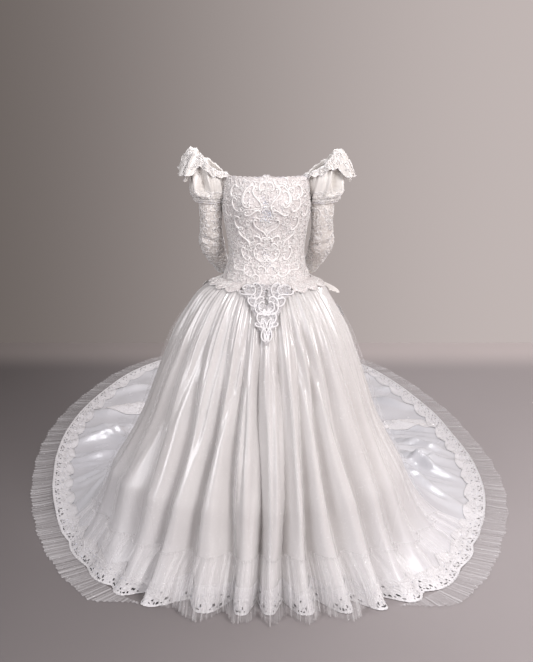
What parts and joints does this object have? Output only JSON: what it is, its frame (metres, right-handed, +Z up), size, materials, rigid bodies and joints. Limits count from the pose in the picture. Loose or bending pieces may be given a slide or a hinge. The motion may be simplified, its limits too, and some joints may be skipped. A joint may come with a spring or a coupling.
{
  "type": "wedding dress",
  "caption": "Off-shoulder wedding dress with a pointed lace basque, puffed lace sleeves, a full gathered skirt and a long ruffled train, held at the waist.",
  "frame": {"origin": "middle of the waist, where the wearer holds the dress up", "axes": "+Z up along the body, +Y towards the train, +X to the right of somebody who looks at the front"},
  "size_m": [2.0488, 3.0652, 1.4386],
  "materials": {
    "bodice_lace": "corded and beaded lace over satin",
    "sleeve_lace": "beaded lace over satin",
    "ivory_satin": "soft satin sheen",
    "train_satin": "cool white satin sheen",
    "border_lace": "pierced sequinned lace",
    "tulle": "sheer glitter tulle",
    "pearl": "pearl"
  },
  "bodies": {
    "root": {"bodice_front": "bodice_lace", "bodice_back_left": "bodice_lace", "bodice_back_right": "bodice_lace", "basque": "bodice_lace", "hip_lace_left": "bodice_lace", "hip_lace_right": "bodice_lace", "sleeve_top_left": "sleeve_lace", "sleeve_under_left": "sleeve_lace", "sleeve_top_right": "sleeve_lace", "sleeve_under_right": "sleeve_lace", "puff_left": "ivory_satin", "puff_right": "ivory_satin", "shoulder_ruffle_left": "ivory_satin", "shoulder_ruffle_right": "ivory_satin", "skirt_front": "ivory_satin", "skirt_side_left": "ivory_satin", "skirt_side_right": "ivory_satin", "bow_knot": "ivory_satin", "bow_loop_left": "ivory_satin", "bow_loop_right": "ivory_satin", "bow_tail_left": "ivory_satin", "bow_tail_right": "ivory_satin", "train_left": "train_satin", "train_right": "train_satin", "hem_lace_front": "border_lace", "train_lace_left": "border_lace", "train_lace_right": "border_lace", "train_ruffle_left": "tulle", "train_ruffle_right": "tulle", "overskirt": "tulle", "overskirt_ruffle": "tulle", "back_button_1": "pearl", "back_button_2": "pearl", "back_button_3": "pearl", "back_button_4": "pearl", "back_button_5": "pearl", "back_button_6": "pearl", "back_button_7": "pearl", "back_button_8": "pearl", "cuff_button_left_1": "pearl", "cuff_button_left_2": "pearl", "cuff_button_left_3": "pearl", "cuff_button_left_4": "pearl", "cuff_button_left_5": "pearl", "cuff_button_left_6": "pearl", "cuff_button_right_1": "pearl", "cuff_button_right_2": "pearl", "cuff_button_right_3": "pearl", "cuff_button_right_4": "pearl", "cuff_button_right_5": "pearl", "cuff_button_right_6": "pearl"}
  },
  "joints": []
}
